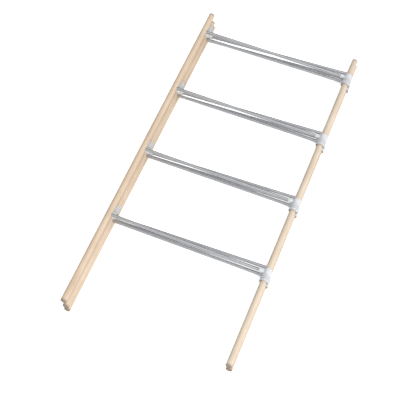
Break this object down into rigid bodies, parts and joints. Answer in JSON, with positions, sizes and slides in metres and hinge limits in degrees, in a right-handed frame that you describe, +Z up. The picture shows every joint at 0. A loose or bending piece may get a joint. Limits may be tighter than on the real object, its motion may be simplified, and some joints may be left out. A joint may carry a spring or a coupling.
{
  "type": "folding clothes airer",
  "caption": "Folding concertina clothes airer lying folded flat: panels of round metal rungs between round wooden poles, joined by swinging plastic collars.",
  "frame": {"origin": "middle of the folded airer's box, on the surface that it lies on", "axes": "+X along the rungs, +Y along the poles to their upper ends, +Z up through the folded stack"},
  "size_m": [0.559, 1.182, 0.0854],
  "materials": {
    "pole_wood": "pale round poles of smooth, lightly sealed softwood",
    "rung_metal": "satin grey drawn tube",
    "joint_plastic": "cool white moulded plastic"
  },
  "bodies": {
    "panel_1": {"pole_1": "pole_wood", "panel_1_rung_1": "rung_metal", "pole_2_collar_1": "joint_plastic", "panel_1_rung_2": "rung_metal", "pole_2_collar_2": "joint_plastic", "panel_1_rung_3": "rung_metal", "pole_2_collar_3": "joint_plastic", "panel_1_rung_4": "rung_metal", "pole_2_collar_4": "joint_plastic"},
    "panel_2": {"pole_2": "pole_wood", "panel_2_rung_1": "rung_metal", "pole_2_stop_ring_1": "joint_plastic", "pole_3_collar_1": "joint_plastic", "panel_2_rung_2": "rung_metal", "pole_2_stop_ring_2": "joint_plastic", "pole_3_collar_2": "joint_plastic", "panel_2_rung_3": "rung_metal", "pole_2_stop_ring_3": "joint_plastic", "pole_3_collar_3": "joint_plastic", "panel_2_rung_4": "rung_metal", "pole_2_stop_ring_4": "joint_plastic", "pole_3_collar_4": "joint_plastic"},
    "panel_3": {"pole_3": "pole_wood", "panel_3_rung_1": "rung_metal", "pole_3_stop_ring_1": "joint_plastic", "pole_4_collar_1": "joint_plastic", "panel_3_rung_2": "rung_metal", "pole_3_stop_ring_2": "joint_plastic", "pole_4_collar_2": "joint_plastic", "panel_3_rung_3": "rung_metal", "pole_3_stop_ring_3": "joint_plastic", "pole_4_collar_3": "joint_plastic", "panel_3_rung_4": "rung_metal", "pole_3_stop_ring_4": "joint_plastic", "pole_4_collar_4": "joint_plastic"},
    "panel_4": {"pole_4": "pole_wood", "pole_5": "pole_wood", "panel_4_rung_1": "rung_metal", "pole_4_stop_ring_1": "joint_plastic", "panel_4_rung_2": "rung_metal", "pole_4_stop_ring_2": "joint_plastic", "panel_4_rung_3": "rung_metal", "pole_4_stop_ring_3": "joint_plastic", "panel_4_rung_4": "rung_metal", "pole_4_stop_ring_4": "joint_plastic"}
  },
  "joints": [
    {"name": "fold_3_4", "type": "hinge", "parent": "panel_4", "child": "panel_3", "pos_m": [0.26462, 0, 0.0145], "axis": [0, 1, 0], "range_deg": [0, 175]},
    {"name": "fold_2_3", "type": "hinge", "parent": "panel_3", "child": "panel_2", "pos_m": [-0.26497, 0, 0.0355], "axis": [0, -1, 0], "range_deg": [0, 150]},
    {"name": "fold_1_2", "type": "hinge", "parent": "panel_2", "child": "panel_1", "pos_m": [0.26497, 0, 0.0441], "axis": [0, 1, 0], "range_deg": [0, 175]}
  ]
}
